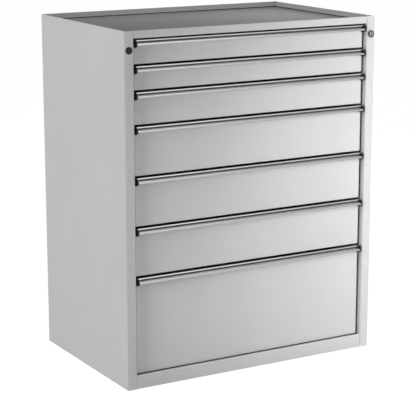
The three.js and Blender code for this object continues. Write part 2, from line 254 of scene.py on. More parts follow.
def zinc_plate():
    """Bright zinc plate with a soft spangle."""
    finish = Finish("zinc_steel", roughness=0.35, metallic=1.0)
    finish.colour(finish.noise(35, detail=3), (0.44, 0.455, 0.47), (0.56, 0.57, 0.58))
    finish.gloss(finish.cells(120), 0.26, 0.42)
    finish.relief((finish.noise(900), 0.06, 0.0002))
    return finish.material


def polished_metal(name, dark, light):
    """Smooth plated metal, faintly uneven."""
    finish = Finish(name, roughness=0.12, metallic=1.0)
    finish.colour(finish.noise(200), dark, light)
    finish.gloss(finish.noise(400, detail=3), 0.08, 0.2)
    finish.relief((finish.noise(600), 0.03, 0.0001))
    return finish.material


FINISHES = {
    "housing_paint": powder_coat("housing_paint", (0.585, 0.595, 0.588), (0.61, 0.62, 0.613)),
    "front_paint": powder_coat("front_paint", (0.6, 0.61, 0.603), (0.625, 0.635, 0.628)),
    "mat_rubber": rubber_mat(),
    "handle_aluminium": brushed_aluminium(
        "handle_aluminium", (0.47, 0.475, 0.49), (0.53, 0.535, 0.55)),
    # A darker copy of the aluminium: painted shade in the strip's groove
    "groove_shade_aluminium": brushed_aluminium(
        "groove_shade_aluminium", (0.145, 0.145, 0.155), (0.195, 0.195, 0.205), 0.2),
    # A brighter copy of the aluminium: a painted highlight on the strip's bead
    "bead_highlight_aluminium": brushed_aluminium(
        "bead_highlight_aluminium", (0.73, 0.735, 0.75), (0.79, 0.795, 0.81)),
    "black_plastic": moulded_plastic(),
    "zinc_steel": zinc_plate(),
    "lock_chrome": polished_metal("lock_chrome", (0.46, 0.46, 0.47), (0.54, 0.54, 0.55)),
    # Dark metal for the lock ring's outer part, and painted shade in the core's centre and key
    # slot
    "lock_dark_and_shade": polished_metal("lock_dark_and_shade", (0.12, 0.12, 0.124), (0.16, 0.16, 0.165)),
}

# Sheet-metal work

# For each axis, the coordinates in which a section's across and up and its length count
AXES = {"X": (1, 2, 0), "Y": (0, 2, 1), "Z": (0, 1, 2)}


def at(axis, across, up, along):
    """A point of a section that lies across the axis."""
    point = Vector((0, 0, 0))
    for place, value in zip(AXES[axis], (across, up, along)):
        point[place] = value
    return point


def vertices_of(geometry):
    return [part for part in geometry if isinstance(part, bmesh.types.BMVert)]


def edges_of(geometry):
    return [part for part in geometry if isinstance(part, bmesh.types.BMEdge)]


def middle(part):
    """The mean of the corners of a face or an edge."""
    return sum((vertex.co for vertex in part.verts), Vector()) / len(part.verts)


def folds(bm, keep=lambda place: True):
    """The edges where two faces meet, picked by the place of their middle."""
    return [edge for edge in bm.edges if len(edge.link_faces) == 2 and keep(middle(edge))]


def round_off(bm, edges, radius, segments=3):
    bmesh.ops.bevel(
        bm, geom=edges, offset=radius, segments=segments, profile=0.5,
        affect="EDGES", material=-1, clamp_overlap=True,
    )


def cut_through(bm, place, direction):
    """Cuts every face that the plane through a place crosses."""
    bmesh.ops.bisect_plane(
        bm, geom=bm.verts[:] + bm.edges[:] + bm.faces[:], plane_co=place, plane_no=direction)


def turn_towards(bm, direction):
    """Turns a sheet over where none of its faces looks in the direction."""
    bm.normal_update()
    if max(face.normal.dot(direction) for face in bm.faces) < ALIGNED:
        bmesh.ops.reverse_faces(bm, faces=bm.faces)


def sheet_along(axis, path, span):
    """A sheet through a path of a few points, drawn out along an axis. Its outside lies on
    the right of the path."""
    bm = bmesh.new()
    start, end = span
    row = [bm.verts.new(at(axis, across, up, start)) for across, up in path]
    edges = [bm.edges.new(pair) for pair in zip(row, row[1:])]
    drawn = bmesh.ops.extrude_edge_only(bm, edges=edges)["geom"]
    bmesh.ops.translate(bm, vec=at(axis, 0, 0, end - start), verts=vertices_of(drawn))
    bm.normal_update()
    (across, up), (next_across, next_up) = path[:2]
    outside = at(axis, next_up - up, across - next_across, 0)
    if edges[0].link_faces[0].normal.dot(outside) < 0:
        bmesh.ops.reverse_faces(bm, faces=bm.faces)
    return bm


def mirrored(path, side):
    """The path of the right side, or its mirror image in reverse order for the left."""
    return list(path) if side > 0 else [(-across, up) for across, up in reversed(path)]


def box_between(low, high):
    bm = bmesh.new()
    bmesh.ops.create_cube(bm, size=1)
    bmesh.ops.scale(bm, vec=high - low, verts=bm.verts)
    bmesh.ops.translate(bm, vec=(high + low) / 2, verts=bm.verts)
    return bm


def open_box(low, high, open_side):
    """Five sides of a box. The open side is the direction of the face left out."""
    bm = box_between(low, high)
    bm.normal_update()
    gone = [face for face in bm.faces if face.normal.dot(open_side) > ALIGNED]
    bmesh.ops.delete(bm, geom=gone, context="FACES_ONLY")
    return bm


def block(low, high, radius):
    """A solid box with rounded edges."""
    bm = box_between(low, high)
    round_off(bm, bm.edges[:], radius, segments=2)
    return bm


def bar_along(axis, outline, span, rounded):
    """A closed section drawn out along an axis. Each rounded entry is an outline point's
    number, its radius and the steps of its curve."""
    bm = bmesh.new()
    start, end = span
    row = [bm.verts.new(at(axis, across, up, start)) for across, up in outline]
    bm.faces.new(row)
    drawn = bmesh.ops.extrude_face_region(bm, geom=bm.faces[:])["geom"]
    bmesh.ops.translate(bm, vec=at(axis, 0, 0, end - start), verts=vertices_of(drawn))
    bmesh.ops.recalc_face_normals(bm, faces=bm.faces)
    along = at(axis, 0, 0, 1)
    long_edges = [
        next(edge for edge in row[number].link_edges
             if abs((edge.verts[0].co - edge.verts[1].co).normalized().dot(along)) > ALIGNED)
        for number, _, _ in rounded
    ]
    for edge, (_, radius, segments) in zip(long_edges, rounded):
        round_off(bm, [edge], radius, segments)
    return bm


def turned(profile, centre, steps):
    """A turned part: a profile of [radius, y] points spun about a line along Y."""
    bm = bmesh.new()
    row = [bm.verts.new((radius, y, 0)) for radius, y in profile]
    edges = [bm.edges.new(pair) for pair in zip(row, row[1:])]
    bmesh.ops.spin(
        bm, geom=row + edges, cent=ORIGIN, axis=BACKWARDS, angle=2 * math.pi,
        steps=steps, use_merge=True,
    )
    bmesh.ops.remove_doubles(bm, verts=bm.verts, dist=SAME_POINT)
    bmesh.ops.recalc_face_normals(bm, faces=bm.faces)
    bmesh.ops.translate(bm, vec=centre, verts=bm.verts)
    return bm


def put_together(*parts):
    """One mesh of several."""
    whole = parts[0]
    for part in parts[1:]:
        mesh = bpy.data.meshes.new("loose")
        part.to_mesh(mesh)
        part.free()
        whole.from_mesh(mesh)
        bpy.data.meshes.remove(mesh)
    return whole


def made_object(name, bm):
    """An object in the scene, made from a mesh under construction."""
    mesh = bpy.data.meshes.new(name)
    bm.to_mesh(mesh)
    bm.free()
    made = bpy.data.objects.new(name, mesh)
    bpy.context.scene.collection.objects.link(made)
    return made


def piece(name, bm, body, slot, nodes, wall=0.0, edge=0.0, edge_steps=2, others=()):
    """Finishes a mesh: metres, materials, sheet thickness, softened edges and its CAD nodes.
    Faces marked with a material number from 1 up get one of the other finishes."""
    bmesh.ops.scale(bm, vec=(MM, MM, MM), verts=bm.verts)
    made = made_object(name, bm)
    for finish in (slot, *others):
        made.data.materials.append(FINISHES[finish])
    made.data.shade_smooth()
    if wall:
        shell = made.modifiers.new("wall", "SOLIDIFY")
        shell.thickness = wall * MM
        shell.offset = -1
        shell.use_even_offset = True
    if edge:
        bevel = made.modifiers.new("edge", "BEVEL")
        bevel.width = edge * MM
        bevel.segments = edge_steps
        bevel.limit_method = "ANGLE"
        bevel.angle_limit = EDGE_ANGLE
        bevel.harden_normals = True
    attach(made, body)
    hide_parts(*nodes)


# Housing

FOOT_INSET = 4


def side_shell(name, side):
    """One sheet: post return, post, wall and rear flange. Above the tray only the post's face
    and the wall go on."""
    path = mirrored([
        (OPENING, FRONT + POST_RETURN),
        (OPENING, FRONT),
        (SIDE, FRONT),
        (SIDE, BACK),
        (SIDE - REAR_FLANGE, BACK),
    ], side)
    bm = sheet_along("Z", path, (0, TOP))
    round_off(bm, folds(bm), BEND, SMOOTH)
    shelf = TRAY_BASE - CLEARANCE
    cut_through(bm, (0, 0, shelf), UP)
    gone = []
    for face in bm.faces:
        place = middle(face)
        in_return = abs(place.x) < OPENING + NEAR and place.y > FRONT + BEND
        in_flange = place.y > BACK - NEAR and abs(place.x) < SIDE - BEND
        if place.z > shelf and (in_return or in_flange):
            gone.append(face)
    bmesh.ops.delete(bm, geom=gone, context="FACES")
    piece(f"side_shell_{name}", bm, "root", "housing_paint", [f"side_panel_{name}", "top_tray"],
          SHEET, SHELL_EDGE)


def side_foot(name, side):
    """The flange on which the side stands."""
    wall = SIDE - SHEET - SEAM
    path = mirrored([(SIDE - FOOT_FLANGE, 0), (wall, 0), (wall, HEM)], side)
    bm = sheet_along("Y", path, (FRONT + FOOT_INSET, BACK - FOOT_INSET))
    round_off(bm, folds(bm), BEND)
    piece(f"side_foot_{name}", bm, "root", "housing_paint", [f"side_panel_{name}"], SHEET, EDGE)


def post_hem(name, side):
    """The doubled sheet at the top of a post."""
    span = sorted((side * (OPENING + CLEARANCE), side * (SIDE - BEND)))
    bm = sheet_along("X", [(HEM_FACE, TOP - HEM), (HEM_FACE, TOP - SEAM)], span)
    piece(f"post_hem_{name}", bm, "root", "housing_paint", [f"side_panel_{name}"],
          HEM_SHEET, BROAD_EDGE)


def bottom_rail():
    """A channel of sheet with a narrow lip along its top and a wider foot on the floor."""
    path = [
        (FRONT + RAIL_LIP, bottom_high.z),
        (FRONT, bottom_high.z),
        (FRONT, 0),
        (FRONT + BOTTOM_RAIL_FOOT, 0),
    ]
    bm = sheet_along("X", path, (-OPENING + SEAM, OPENING - SEAM))
    round_off(bm, folds(bm), BEND, SMOOTH)
    piece("bottom_rail_sheet", bm, "root", "housing_paint", ["bottom_rail"], HEM_SHEET, EDGE)


def top_rail():
    """The rail over the top drawer, with a hem along its top and a lip under it."""
    path = [
        (HEM_FACE, TOP - HEM),
        (HEM_FACE, TOP),
        (FRONT, TOP),
        (FRONT, TRAY_BASE),
        (FRONT + RAIL_LIP, TRAY_BASE),
    ]
    bm = sheet_along("X", path, (-OPENING + SEAM, OPENING - SEAM))
    round_off(bm, folds(bm, lambda place: place.z < TRAY_BASE + NEAR), BEND, SMOOTH)
    round_off(bm, folds(bm, lambda place: place.z > TOP - NEAR), HEM_SHEET, SMOOTH)
    piece("top_rail_sheet", bm, "root", "housing_paint", ["top_tray"], HEM_SHEET, EDGE)


# The recessed top: the visible faces of its sheets are drawn, and the sheets lie under and
# outside them. The pan ends a gap in front of the rear rim, and the rim's foot starts there.
RIM_BEND = 1
RIM_GAP = 2.5
PAN_END = RIM_REAR - RIM_GAP


def top_pan():
    """The floor and the side rims, in one sheet."""
    path = [(RIM, TOP), (RIM, TRAY_FLOOR), (-RIM, TRAY_FLOOR), (-RIM, TOP)]
    bm = sheet_along("Y", path, (RIM_NEAR, PAN_END))
    round_off(bm, folds(bm), RIM_BEND)
    piece("top_pan_sheet", bm, "root", "housing_paint", ["top_tray"], SHEET, EDGE)


def top_rear_rim():
    path = [(RIM_REAR, TOP), (RIM_REAR, TRAY_FLOOR), (PAN_END, TRAY_FLOOR)]
    bm = sheet_along("X", path, (-RIM - SHEET, RIM + SHEET))
    round_off(bm, folds(bm), RIM_BEND)
    piece("top_rear_rim", bm, "root", "housing_paint", ["top_tray"], SHEET, EDGE)


# The mat with its edging fills the recess, a seam away from the rims. The edging's black is
# painted shade along the rims.
MAT_BASE = TRAY_FLOOR + 0.05
MAT_HALF = RIM - SEAM
MAT_NEAR = RIM_NEAR + SEAM
MAT_FAR = RIM_REAR - SEAM
MAT_CORNER = 0.5
SHADE_EDGING_WIDTH = 3
SHADE_EDGING_HEIGHT = 5
SHADE_EDGING_CORNER = 0.8


def mat_shade_edging():
    """A black profile around the mat, put where the shade between mat and rims falls: painted
    shade.
    """
    bm = bmesh.new()
    bmesh.ops.create_grid(bm, x_segments=1, y_segments=1, size=0.5)
    bmesh.ops.scale(bm, vec=(2 * MAT_HALF, MAT_FAR - MAT_NEAR, 1), verts=bm.verts)
    bmesh.ops.translate(bm, vec=(0, (MAT_FAR + MAT_NEAR) / 2, MAT_BASE), verts=bm.verts)
    inside = bm.faces[:]
    bmesh.ops.inset_region(
        bm, faces=inside, thickness=SHADE_EDGING_WIDTH, use_boundary=True, use_even_offset=True)
    bmesh.ops.delete(bm, geom=inside, context="FACES")
    drawn = bmesh.ops.extrude_face_region(bm, geom=bm.faces[:])["geom"]
    bmesh.ops.translate(bm, vec=(0, 0, SHADE_EDGING_HEIGHT), verts=vertices_of(drawn))
    bmesh.ops.recalc_face_normals(bm, faces=bm.faces)
    # Painted shade: black plastic along the rims stands in for the shade line between mat and
    # rims
    piece("mat_shade_edging", bm, "root", "black_plastic", ["top_mat"],
          edge=SHADE_EDGING_CORNER, edge_steps=3)


def mat_slab():
    """The rubber inside the edging."""
    _, solid_high = box_mm("top_mat")
    inset = SHADE_EDGING_WIDTH + HAIR
    low = Vector((-MAT_HALF + inset, MAT_NEAR + inset, MAT_BASE))
    high = Vector((MAT_HALF - inset, MAT_FAR - inset, solid_high.z))
    piece("top_mat_slab", block(low, high, MAT_CORNER), "root", "mat_rubber", ["top_mat"])


# The pressed fields of the back: how far they reach from the middle, where they start and
# end, and the slope and depth of their borders
FIELD_SIDES = (20, 380)
FIELD_LEVELS = ((70, 515), (545, 985))
FIELD_SLOPE = 7
FIELD_DEPTH = 1.2


def back_sheet():
    """The back, with two pairs of pressed fields that stiffen it."""
    low, high = box_mm("back_panel")
    bm = sheet_along("Z", [(high.x, high.y), (low.x, high.y)], (low.z, high.z))
    turn_towards(bm, BACKWARDS)
    inner, outer = FIELD_SIDES
    for x in (-outer, -inner, inner, outer):
        cut_through(bm, (x, 0, 0), ACROSS)
    for bottom, top in FIELD_LEVELS:
        cut_through(bm, (0, 0, bottom), UP)
        cut_through(bm, (0, 0, top), UP)
    fields = []
    for face in bm.faces:
        place = middle(face)
        in_height = any(bottom < place.z < top for bottom, top in FIELD_LEVELS)
        if in_height and inner < abs(place.x) < outer:
            fields.append(face)
    for field in fields:
        bmesh.ops.inset_region(
            bm, faces=[field], thickness=FIELD_SLOPE, depth=FIELD_DEPTH, use_even_offset=True)
    piece("back_sheet", bm, "root", "housing_paint", ["back_panel"], SHEET, BROAD_EDGE)


PAN_TOP = 30
UPRIGHT_WIDTH = 30
UPRIGHT_SETBACK = 6


def floor_pan():
    """The floor of the inner frame, with its edges folded down."""
    low, high = box_mm("runner_frame")
    bm = open_box(low, Vector((high.x, high.y, PAN_TOP)), -UP)
    round_off(bm, folds(bm), BEND)
    piece("floor_pan", bm, "root", "housing_paint", ["runner_frame"], SHEET, EDGE)


def uprights(name, side):
    """A front and a rear upright, open towards the side panel."""
    _, high = box_mm("runner_frame")
    starts = (RAIL_START + UPRIGHT_SETBACK, RAIL_END - UPRIGHT_SETBACK - UPRIGHT_WIDTH)
    for number, start in enumerate(starts, 1):
        end = start + UPRIGHT_WIDTH
        path = mirrored([(high.x, end), (OPENING, end), (OPENING, start), (high.x, start)], side)
        bm = sheet_along("Z", path, (PAN_TOP + HAIR, TRAY_BASE - CLEARANCE))
        round_off(bm, folds(bm), BEND)
        piece(f"upright_{name}_{number}", bm, "root", "housing_paint", ["runner_frame"],
              SHEET, EDGE)


def rail(web, flange, drawer, side):
    """A rail of the runners: a web with a flange along its foot and another along its head.
    The face that is drawn is the web's back, away from the flanges."""
    centre = rail_centre(drawer)
    rise = RAIL_HALF_HEIGHT if flange < web else -RAIL_HALF_HEIGHT
    path = mirrored([
        (flange, centre - rise),
        (web, centre - rise),
        (web, centre + rise),
        (flange, centre + rise),
    ], side)
    bm = sheet_along("Y", path, (RAIL_START, RAIL_END))
    round_off(bm, folds(bm), BEND)
    return bm


def fixed_rail(drawer, name, side):
    """The rail that is welded to the uprights."""
    bm = rail(OPENING - HAIR, OPENING - RAIL_FLANGE, drawer, side)
    piece(f"fixed_rail_{drawer}_{name}", bm, "root", "zinc_steel", ["runner_frame"],
          RAIL_SHEET, EDGE)


# The guides of the locking bar: the bar's width, the heights of the guides' middles and half
# their own height, their wall, their play around the bar, and the corners of the tab that
# joins them to the side
BAR_WIDTH = 11
GUIDE_LEVELS = (994.5, 668, 368)
GUIDE_HALF_HEIGHT = 1.5
GUIDE_WALL = 2.3
GUIDE_PLAY = 0.5
GUIDE_CORNER = 0.4


def bar_guides():
    """The guides of the locking bar on the right wall, each a small plate with a passage."""
    bar_low, bar_high = box_mm("lock_bar")
    inner, outer = bar_high.x - BAR_WIDTH - GUIDE_PLAY, bar_high.x + GUIDE_PLAY
    near, far = bar_low.y - GUIDE_PLAY, bar_high.y + GUIDE_PLAY
    path = [(inner, near), (inner, far), (outer, far), (outer, near), (inner, near)]
    for number, level in enumerate(GUIDE_LEVELS, 1):
        bottom, top = level - GUIDE_HALF_HEIGHT, level + GUIDE_HALF_HEIGHT
        ring = sheet_along("Z", path, (bottom, top))
        bmesh.ops.remove_doubles(ring, verts=ring.verts, dist=SAME_POINT)
        bmesh.ops.solidify(ring, geom=ring.faces[:], thickness=-GUIDE_WALL)
        bmesh.ops.recalc_face_normals(ring, faces=ring.faces)
        tab_low = Vector((outer + GUIDE_WALL - HAIR, near - GUIDE_WALL, bottom))
        tab_high = Vector((SIDE - SHEET - HAIR, far + GUIDE_WALL, top))
        guide = put_together(ring, block(tab_low, tab_high, GUIDE_CORNER))
        piece(f"bar_guide_{number}", guide, "root", "zinc_steel", ["side_panel_right"],
              edge=THIN_EDGE)


# Drawers

FRONT_BEND = 2
FRONT_CORNER = 1


def drawer_front(drawer):
    """A pan of sheet whose returns point backwards."""
    node = f"drawer_{drawer}_front"
    low, high = box_mm(node)
    centre = (low + high) / 2

    def where_returns_meet(place):
        at_side = abs(place.x) > high.x - NEAR
        at_end = place.z < low.z + NEAR or place.z > high.z - NEAR
        return at_side and at_end and abs(place.y - centre.y) < FRONT_BEND

    bm = open_box(low, high, BACKWARDS)
    round_off(bm, folds(bm, lambda place: place.y < low.y + NEAR), FRONT_BEND, SMOOTH)
    round_off(bm, folds(bm, where_returns_meet), FRONT_CORNER, segments=2)
    piece(f"{node}_pan", bm, f"drawer_{drawer}", "front_paint", [node], DRAWER_SHEET, FINE_EDGE)


BOX_HALF_WIDTH = 382.5
BOX_FACE = BOX_HALF_WIDTH + HAIR
BOX_LIP = 8
BOX_LIP_BEND = 1


def drawer_box(drawer):
    """Floor and four walls with rolled top edges and rows of slots for dividers."""
    node = f"drawer_{drawer}_box"
    low, high = box_mm(node)
    low.x, high.x = -BOX_HALF_WIDTH, BOX_HALF_WIDTH
    bm = open_box(low, high, UP)
    rim = [edge for edge in bm.edges if len(edge.link_faces) == 1]
    top = bmesh.ops.extrude_edge_only(bm, edges=rim)["geom"]
    size = high - low
    inward = 2 * DRAWER_SHEET
    narrow = Vector((1 - 2 * inward / size.x, 1 - 2 * inward / size.y, 1))
    from_middle = Matrix.Translation(-(low + high) / 2)
    bmesh.ops.scale(bm, vec=narrow, verts=vertices_of(top), space=from_middle)
    lip = bmesh.ops.extrude_edge_only(bm, edges=edges_of(top))["geom"]
    bmesh.ops.translate(bm, vec=(0, 0, -BOX_LIP), verts=vertices_of(lip))
    bm.normal_update()
    round_off(bm, folds(bm, lambda place: place.z > high.z - NEAR), BOX_LIP_BEND, segments=2)
    slot_walls(bm, low, high)
    piece(f"{node}_shell", bm, f"drawer_{drawer}", "housing_paint", [node],
          DRAWER_SHEET - HAIR, THIN_EDGE, edge_steps=1)


DIVIDER_PITCH = 50
DIVIDER_MARGIN = 30
DIVIDER_HALF_WIDTH = 2
DIVIDER_RISE = 10
DIVIDER_DROP = 14


def slot_walls(bm, low, high):
    """Cuts upright slots for dividers into the front and rear walls of a drawer."""
    bottom = low.z + DIVIDER_RISE
    top = high.z - DIVIDER_DROP
    count = int((high.x - DIVIDER_MARGIN) // DIVIDER_PITCH)
    places = [number * DIVIDER_PITCH for number in range(-count, count + 1)]
    for x in places:
        cut_through(bm, (x - DIVIDER_HALF_WIDTH, 0, 0), ACROSS)
        cut_through(bm, (x + DIVIDER_HALF_WIDTH, 0, 0), ACROSS)
    cut_through(bm, (0, 0, bottom), UP)
    cut_through(bm, (0, 0, top), UP)
    gone = []
    for face in bm.faces:
        place = middle(face)
        on_wall = place.y < low.y + NEAR or place.y > high.y - NEAR
        in_slot = any(abs(place.x - x) < DIVIDER_HALF_WIDTH for x in places)
        if on_wall and in_slot and bottom < place.z < top:
            gone.append(face)
    bmesh.ops.delete(bm, geom=gone, context="FACES")


def moving_rail(drawer, name, side):
    """The rail on the side of a drawer's box."""
    bm = rail(BOX_FACE, BOX_FACE + RAIL_FLANGE, drawer, side)
    piece(f"moving_rail_{drawer}_{name}", bm, f"drawer_{drawer}", "zinc_steel",
          [f"drawer_{drawer}_box"], RAIL_SHEET, EDGE)


LUG_REACH = 20
LUG_FOOT = 14
LUG_SHEET = 2.4
LUG_HEIGHT = 8
LUG_DROP = 1


def lock_lug(drawer):
    """The angle that the hook of the locking bar holds back."""
    node = f"drawer_{drawer}_box"
    low, high = box_mm(node)
    path = [(BOX_HALF_WIDTH + LUG_REACH, low.y), (BOX_FACE, low.y), (BOX_FACE, low.y + LUG_FOOT)]
    top = high.z - LUG_DROP
    bm = sheet_along("Z", path, (top - LUG_HEIGHT, top))
    turn_towards(bm, -BACKWARDS)
    round_off(bm, folds(bm), BEND)
    piece(f"lock_lug_{drawer}", bm, f"drawer_{drawer}", "zinc_steel", [node], LUG_SHEET, EDGE)


# The section of the handle strip and the outline of its end plates, as [forward, up] from
# the face of the front and the top of the drawer's module. The lists of rounded points give
# each point's number, its radius and the steps of its curve.
STRIP = [
    (0.8, -5.4), (8.0, -5.4), (8.0, -9.4), (2.5, -9.4), (2.5, -12.4), (12.3, -12.4),
    (19.0, -16.7), (19.0, -20.8), (17.2, -20.8), (17.2, -17.5), (11.5, -14.2), (2.5, -14.2),
    (2.5, -18.2), (0.3, -18.2), (0.3, -13.6), (-14.0, -13.6), (-14.0, -12.4), (0.8, -12.4),
]
STRIP_ROUNDED = [
    (1, 1.4, 4), (2, 1.4, 4), (5, 3.8, 5), (6, 3.2, 6), (7, 0.7, 2), (8, 0.7, 2), (9, 2.6, 4),
    (10, 3.0, 3),
]
PLATE = [
    (0.3, -5.4), (12.8, -5.4), (19.5, -13.8), (19.5, -21.8), (9.5, -27.8), (0.3, -27.8),
]
PLATE_ROUNDED = [(1, 4.5, 5), (2, 5.2, 5), (3, 1.5, 3), (4, 2.0, 3)]

# The groove under the strip's bead, from the same places. Its faces get painted shade.
GROOVE_REACH = 6.0
GROOVE_FLOOR = -12.5
GROOVE_CEILING = -9.3


def section_at(points, face, top):
    """The points where they lie on a drawer, given its front's face and its module's top."""
    return [(face - forward, top + up) for forward, up in points]


def handle_strip(drawer):
    """The extruded strip. Its groove is painted darker than its lip, as painted shade, and its
    bead is painted brighter, as a painted highlight.
    """
    node = f"drawer_{drawer}_handle"
    low, high = box_mm(node)
    front_low, _ = box_mm(f"drawer_{drawer}_front")
    top = high.z + HANDLE_DROP
    bm = bar_along("X", section_at(STRIP, front_low.y, top), (low.x, high.x), STRIP_ROUNDED)
    # Painted shade on the groove's faces and a painted highlight on the bead's faces, as darker
    # and brighter copies of the aluminium
    groove, bead = 1, 2
    for face in bm.faces:
        place = middle(face)
        in_height = top + GROOVE_FLOOR < place.z < top + GROOVE_CEILING
        in_groove = in_height and place.y > front_low.y - GROOVE_REACH
        if in_groove and abs(face.normal.x) < ALIGNED:
            face.material_index = groove
        elif place.z > top + GROOVE_CEILING:
            face.material_index = bead
    piece(f"drawer_{drawer}_strip", bm, f"drawer_{drawer}", "handle_aluminium", [node],
          edge=FINE_EDGE, others=("groove_shade_aluminium", "bead_highlight_aluminium"))


def end_plate(drawer, name):
    """A black plate that closes the strip and reaches below its lip."""
    node = f"drawer_{drawer}_cap_{name}"
    low, high = box_mm(node)
    front_low, _ = box_mm(f"drawer_{drawer}_front")
    outline = section_at(PLATE, front_low.y, high.z + HANDLE_DROP)
    bm = bar_along("X", outline, (low.x, high.x), PLATE_ROUNDED)
    piece(f"drawer_{drawer}_end_{name}", bm, f"drawer_{drawer}", "black_plastic", [node],
          edge=BROAD_EDGE, edge_steps=3)


# The middle rail: its plate, and the rollers on its outer and inner face with their places
# as shares of its length
SLIDE_SETBACK = 10
SLIDE_SHEET = 2.5
SLIDE_HALF_HEIGHT = 13
SLIDE_CORNER = 0.8
ROLLER_WIDTH = 8
ROLLER_CHAMFER = 0.8
ROLLER_CHAMFER_SHARE = 0.12
ROLLER_STEPS = 32
AXLE_RADIUS = 3
AXLE_FOOT = 3.2
AXLE_SHARE = 0.9
HUB_RADIUS = 6
HUB_EDGE = 6.4
HUB_SHARE = 0.8
OUTER_ROLLER_SHARES = (0.57, 0.96)
INNER_ROLLER_SHARES = (0.04, 0.43)


def roller(face, width, radius):
    """A roller on a face of the plate, with a sunk hub and the head of its axle. A negative
    width reaches inwards."""
    chamfer = width * ROLLER_CHAMFER_SHARE
    wheel = turned([
        (0, face + width * AXLE_SHARE),
        (AXLE_RADIUS, face + width * AXLE_SHARE),
        (AXLE_FOOT, face + width * HUB_SHARE),
        (HUB_RADIUS, face + width * HUB_SHARE),
        (HUB_EDGE, face + width),
        (radius - ROLLER_CHAMFER, face + width),
        (radius, face + width - chamfer),
        (radius, face + chamfer),
        (radius - ROLLER_CHAMFER, face),
        (0, face),
    ], ORIGIN, ROLLER_STEPS)
    turn = Matrix.Rotation(-QUARTER_TURN, 3, "Z")
    bmesh.ops.rotate(wheel, cent=ORIGIN, matrix=turn, verts=wheel.verts)
    return wheel


def middle_rail(drawer, name, side):
    """A flat bar with two rollers on each face, riveted on their axles."""
    node = f"drawer_{drawer}_rail_{name}"
    low, high = box_mm(node)
    centre = (low.z + high.z) / 2
    outer = OPENING - SLIDE_SETBACK
    inner = outer - SLIDE_SHEET
    left, right = sorted((side * outer, side * inner))
    parts = [block(Vector((left, low.y, centre - SLIDE_HALF_HEIGHT)),
                   Vector((right, high.y, centre + SLIDE_HALF_HEIGHT)), SLIDE_CORNER)]
    rows = (
        (OUTER_ROLLER_SHARES, outer, ROLLER_WIDTH),
        (INNER_ROLLER_SHARES, inner, -ROLLER_WIDTH),
    )
    for shares, face, width in rows:
        for share in shares:
            wheel = roller(face, width, (high.z - low.z) / 2)
            place = (0, low.y + share * (high.y - low.y), centre)
            bmesh.ops.scale(wheel, vec=(side, 1, 1), verts=wheel.verts)
            bmesh.ops.translate(wheel, vec=place, verts=wheel.verts)
            bmesh.ops.recalc_face_normals(wheel, faces=wheel.faces)
            parts.append(wheel)
    piece(f"middle_rail_{drawer}_{name}", put_together(*parts), f"rails_{drawer}", "zinc_steel",
          [node])


# Lock

NECK_RADIUS = 9.7
LOCK_STEPS = 64
# Faces with this number get the dark finish: the ring's outer part, and painted shade in the core
LOCK_DARK_AND_SHADE = 1


def axis_of(node):
    """Where the axis of a turned node, which lies along Y, crosses y = 0."""
    low, high = box_mm(node)
    return Vector(((low.x + high.x) / 2, 0, (low.z + high.z) / 2))


# The ring: its bore, and a low crown that ends in a step above the flange
BORE_RADIUS = 6.8
BORE_CHAMFER = 0.4
CROWN_INNER = 7.1
CROWN_OUTER = 8.8
CROWN_FOOT = 9.1
CROWN_HEIGHT = 0.5
FLANGE_CHAMFER = 0.7


def off_axis(face, axis):
    """How far the middle of a face lies from the lock's axis, across and up."""
    place = middle(face) - axis
    return place.x, place.z


def lock_ring():
    """The barrel with its flange. Its bore is chrome, and the rest is dark metal."""
    low, high = box_mm("lock_barrel")
    axis = axis_of("lock_barrel")
    radius = (high.x - low.x) / 2
    ring = turned([
        (BORE_RADIUS, high.y),
        (BORE_RADIUS, low.y + BORE_CHAMFER),
        (CROWN_INNER, low.y),
        (CROWN_OUTER, low.y),
        (CROWN_FOOT, low.y + CROWN_HEIGHT),
        (radius - FLANGE_CHAMFER, low.y + CROWN_HEIGHT),
        (radius, low.y + CROWN_HEIGHT + FLANGE_CHAMFER),
        (radius, FRONT),
        (NECK_RADIUS, FRONT),
        (NECK_RADIUS, high.y),
        (BORE_RADIUS, high.y),
    ], axis, LOCK_STEPS)
    for face in ring.faces:
        if math.hypot(*off_axis(face, axis)) > CROWN_INNER:
            face.material_index = LOCK_DARK_AND_SHADE
    piece("lock_ring", ring, "root", "lock_chrome", ["lock_barrel"], others=("lock_dark_and_shade",))


# The core with its key slot, the crank behind it and the crank's pin
CORE_RADIUS = 6.5
CORE_CHAMFER = 0.4
CORE_CENTRE = 3.0
CORE_TAIL = 12.0
KEY_SLOT_HALF_WIDTH = 0.7
KEY_SLOT_HALF_HEIGHT = 4
KEY_SLOT_DEPTH = 6
CRANK_RADIUS = 10.5
CRANK_THICKNESS = 2.0
CRANK_CHAMFER = 0.3
CRANK_STEPS = 48
PIN_RADIUS = 2
PIN_CHAMFER = 0.5
PIN_OFFSET = 8
PIN_STEPS = 24


def lock_core_body(face, tip):
    """The turning core about the Y axis, with its key slot pressed in."""
    end = tip - CORE_TAIL
    core = turned([
        (0, face),
        (CORE_CENTRE, face),
        (CORE_RADIUS - CORE_CHAMFER, face),
        (CORE_RADIUS, face + CORE_CHAMFER),
        (CORE_RADIUS, end),
        (0, end),
    ], ORIGIN, LOCK_STEPS)
    cut_through(core, (KEY_SLOT_HALF_WIDTH, 0, 0), ACROSS)
    cut_through(core, (-KEY_SLOT_HALF_WIDTH, 0, 0), ACROSS)
    cut_through(core, (0, 0, KEY_SLOT_HALF_HEIGHT), UP)
    cut_through(core, (0, 0, -KEY_SLOT_HALF_HEIGHT), UP)
    slot = []
    for part in core.faces:
        place = middle(part)
        in_slot = abs(place.x) < KEY_SLOT_HALF_WIDTH and abs(place.z) < KEY_SLOT_HALF_HEIGHT
        if in_slot and place.y < face + NEAR:
            slot.append(part)
    sunk = bmesh.ops.extrude_face_region(core, geom=slot)["geom"]
    bmesh.ops.delete(core, geom=slot, context="FACES_ONLY")
    bmesh.ops.translate(core, vec=(0, KEY_SLOT_DEPTH, 0), verts=vertices_of(sunk))
    bmesh.ops.recalc_face_normals(core, faces=core.faces)
    return core


